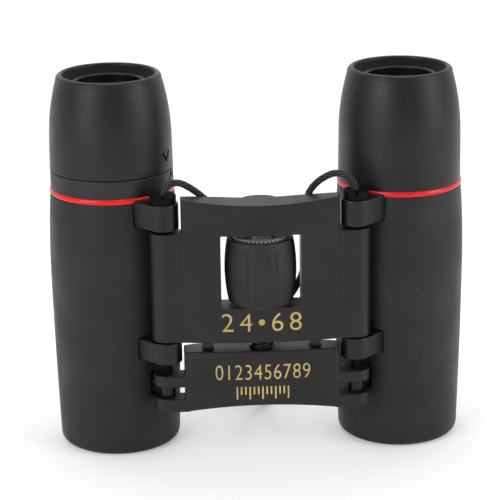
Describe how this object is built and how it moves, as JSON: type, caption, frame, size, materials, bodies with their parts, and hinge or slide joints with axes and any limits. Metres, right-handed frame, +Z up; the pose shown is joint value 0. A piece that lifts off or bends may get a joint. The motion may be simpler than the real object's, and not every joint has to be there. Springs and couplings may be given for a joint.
{
  "type": "compact folding binoculars",
  "caption": "Compact double-hinged binoculars, standing on the objective ends: armoured barrels with red rings, sliding focusing yoke, central focusing wheel, neck cord.",
  "frame": {"origin": "on the resting plane under the objective ends, at the centre of the body's bounding box without the neck cord", "axes": "+Z up, from the objectives to the eyepieces, parallel to the optical axes; +X from the barrel with the diopter to the other; the bridge and the wheel face -Y"},
  "size_m": [0.1016, 0.0675, 0.093],
  "materials": {
    "armour": "matte",
    "barrel_paint": "satin",
    "bridge_paint": "satin",
    "red_trim": "gloss",
    "collar_paint": "matte",
    "eyecup_rubber": "matte",
    "wheel_rubber": "matte",
    "wheel_plastic": "satin",
    "black_steel": "gloss",
    "tongue_steel": "satin",
    "screw_steel": "satin",
    "spring_steel": "satin",
    "nut_steel": "satin",
    "washer_plastic": "matte",
    "inner_black": "matte",
    "cage_plastic": "matte",
    "optical_glass": "polished",
    "eye_glass": "polished",
    "objective_glass": "polished",
    "strap_cord": "matte",
    "gold_print": "satin"
  },
  "bodies": {
    "bridge": {"bridge_plate": "bridge_paint", "left_hinge_pin": "black_steel", "right_hinge_pin": "black_steel", "left_strap_eyelet": "black_steel", "right_strap_eyelet": "black_steel", "left_guide_tongue": "tongue_steel", "right_guide_tongue": "tongue_steel", "lower_thrust_washer": "washer_plastic", "upper_thrust_washer": "washer_plastic", "left_strap_cord": "strap_cord", "right_strap_cord": "strap_cord", "strap_coil": "strap_cord"},
    "focus_wheel": {"wheel_hub": "wheel_plastic", "wheel_grip": "wheel_rubber", "wheel_cross_pin": "spring_steel", "focus_spindle": "screw_steel"},
    "focus_yoke": {"yoke_plate": "bridge_paint", "yoke_nut": "nut_steel"},
    "left_barrel": {"left_barrel_tube": "barrel_paint", "left_barrel_armour": "armour", "left_red_ring": "red_trim", "left_diopter_collar": "collar_paint", "left_ocular_sleeve": "inner_black", "left_snap_ring": "spring_steel", "left_prism_cage": "cage_plastic", "left_half_penta_prism": "optical_glass", "left_roof_prism": "optical_glass", "left_prism_clip": "spring_steel", "left_cage_lock_ring": "inner_black"},
    "right_barrel": {"right_barrel_tube": "barrel_paint", "right_barrel_armour": "armour", "right_red_ring": "red_trim", "right_ocular_sleeve": "inner_black", "right_eyecup": "eyecup_rubber", "right_ocular_tube": "inner_black", "right_eye_lens": "eye_glass", "right_field_lens": "optical_glass", "right_ocular_ring": "inner_black", "right_prism_cage": "cage_plastic", "right_half_penta_prism": "optical_glass", "right_roof_prism": "optical_glass", "right_prism_clip": "spring_steel", "right_cage_lock_ring": "inner_black"},
    "diopter_cup": {"left_eyecup": "eyecup_rubber"},
    "left_ocular": {"left_ocular_tube": "inner_black", "left_eye_lens": "eye_glass", "left_field_lens": "optical_glass", "left_ocular_ring": "inner_black"},
    "left_objective": {"left_objective_carriage": "inner_black", "left_objective_crown": "objective_glass", "left_objective_flint": "optical_glass", "left_objective_ring": "inner_black"},
    "right_objective": {"right_objective_carriage": "inner_black", "right_objective_crown": "objective_glass", "right_objective_flint": "optical_glass", "right_objective_ring": "inner_black"}
  },
  "joints": [
    {"name": "left_fold", "type": "hinge", "parent": "bridge", "child": "left_barrel", "pos_m": [-0.0228, -0.01161, 0.0617], "axis": [0, 0, 1], "range_deg": [-52, 10]},
    {"name": "right_fold", "type": "hinge", "parent": "bridge", "child": "right_barrel", "pos_m": [0.0228, -0.01161, 0.0617], "axis": [0, 0, 1], "range_deg": [-10, 52]},
    {"name": "yoke_slide", "type": "slide", "parent": "bridge", "child": "focus_yoke", "axis": [0, 0, 1], "range_m": [-0.001, 0.002]},
    {"name": "focus_turn", "type": "hinge", "parent": "bridge", "child": "focus_wheel", "pos_m": [0, -0.01161, 0.0485], "axis": [0, 0, 1], "range_deg": [-240, 120]},
    {"name": "left_objective_slide", "type": "slide", "parent": "left_barrel", "child": "left_objective", "axis": [0, 0, 1], "range_m": [-0.001, 0.002]},
    {"name": "right_objective_slide", "type": "slide", "parent": "right_barrel", "child": "right_objective", "axis": [0, 0, 1], "range_m": [-0.001, 0.002]},
    {"name": "left_ocular_slide", "type": "slide", "parent": "left_barrel", "child": "left_ocular", "axis": [0, 0, 1], "range_m": [-0.0006, 0.0006]},
    {"name": "diopter_turn", "type": "hinge", "parent": "left_barrel", "child": "diopter_cup", "pos_m": [-0.035, 0.00449, 0.08], "axis": [0, 0, 1], "range_deg": [-45, 45]}
  ],
  "couplings": [
    {"joint": "focus_turn", "follows": "yoke_slide", "rad_per_m": -2094.4},
    {"joint": "left_objective_slide", "follows": "yoke_slide", "ratio": 1},
    {"joint": "right_objective_slide", "follows": "yoke_slide", "ratio": 1},
    {"joint": "diopter_turn", "follows": "left_ocular_slide", "rad_per_m": 1309}
  ]
}
